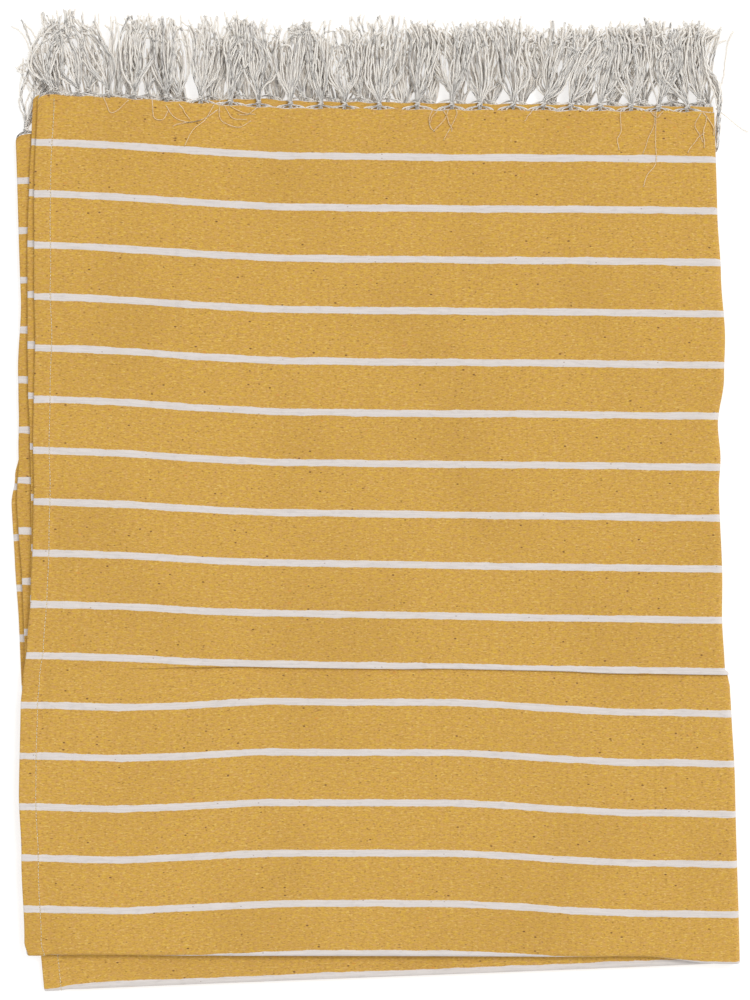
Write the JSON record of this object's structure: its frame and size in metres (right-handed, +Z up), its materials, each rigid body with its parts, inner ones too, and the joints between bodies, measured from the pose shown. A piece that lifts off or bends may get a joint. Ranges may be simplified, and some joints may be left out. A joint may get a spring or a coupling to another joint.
{
  "type": "folded throw blanket",
  "caption": "Flat stack of a striped woven throw with knotted fringes, folded end to end and then side to side. Its upper half opens like a cover about the side fold.",
  "frame": {"origin": "centre of the stack's bounding box in plan, on the surface that it lies on", "axes": "+Z up out of the stack; +Y along the left hem towards the fringed end; +X across from the hems to the side fold"},
  "size_m": [0.6836, 0.9218, 0.014],
  "materials": {
    "mustard_weave": "matte slubbed plain weave with narrow cream weft stripes",
    "cream_warp_cotton": "matte loose cotton yarn",
    "sewing_thread": "fine straw-coloured sewing thread"
  },
  "bodies": {
    "lower_half": {"lower_cloth_leaf": "mustard_weave", "lower_hem_turning": "mustard_weave", "lower_hem_stitching": "sewing_thread", "lower_tassel_01": "cream_warp_cotton", "lower_tassel_02": "cream_warp_cotton", "lower_tassel_03": "cream_warp_cotton", "lower_tassel_04": "cream_warp_cotton", "lower_tassel_05": "cream_warp_cotton", "lower_tassel_06": "cream_warp_cotton", "lower_tassel_07": "cream_warp_cotton", "lower_tassel_08": "cream_warp_cotton", "lower_tassel_09": "cream_warp_cotton", "lower_tassel_10": "cream_warp_cotton", "lower_tassel_11": "cream_warp_cotton", "lower_tassel_12": "cream_warp_cotton", "lower_tassel_13": "cream_warp_cotton", "lower_tassel_14": "cream_warp_cotton", "lower_tassel_15": "cream_warp_cotton", "lower_tassel_16": "cream_warp_cotton", "lower_tassel_17": "cream_warp_cotton", "lower_tassel_18": "cream_warp_cotton", "lower_tassel_19": "cream_warp_cotton", "lower_tassel_20": "cream_warp_cotton", "lower_tassel_21": "cream_warp_cotton", "lower_tassel_22": "cream_warp_cotton", "lower_tassel_23": "cream_warp_cotton", "lower_back_fringe": "cream_warp_cotton"},
    "upper_half": {"upper_cloth_leaf": "mustard_weave", "upper_hem_turning": "mustard_weave", "upper_hem_stitching": "sewing_thread", "upper_tassel_01": "cream_warp_cotton", "upper_tassel_02": "cream_warp_cotton", "upper_tassel_03": "cream_warp_cotton", "upper_tassel_04": "cream_warp_cotton", "upper_tassel_05": "cream_warp_cotton", "upper_tassel_06": "cream_warp_cotton", "upper_tassel_07": "cream_warp_cotton", "upper_tassel_08": "cream_warp_cotton", "upper_tassel_09": "cream_warp_cotton", "upper_tassel_10": "cream_warp_cotton", "upper_tassel_11": "cream_warp_cotton", "upper_tassel_12": "cream_warp_cotton", "upper_tassel_13": "cream_warp_cotton", "upper_tassel_14": "cream_warp_cotton", "upper_tassel_15": "cream_warp_cotton", "upper_tassel_16": "cream_warp_cotton", "upper_tassel_17": "cream_warp_cotton", "upper_tassel_18": "cream_warp_cotton", "upper_tassel_19": "cream_warp_cotton", "upper_tassel_20": "cream_warp_cotton", "upper_tassel_21": "cream_warp_cotton", "upper_tassel_22": "cream_warp_cotton", "upper_back_fringe": "cream_warp_cotton"}
  },
  "joints": [
    {"name": "side_fold", "type": "hinge", "parent": "lower_half", "child": "upper_half", "pos_m": [0.31955, 0.37991, 0.007], "axis": [-0.0279, 0.9996, 0], "range_deg": [0, 180]}
  ]
}
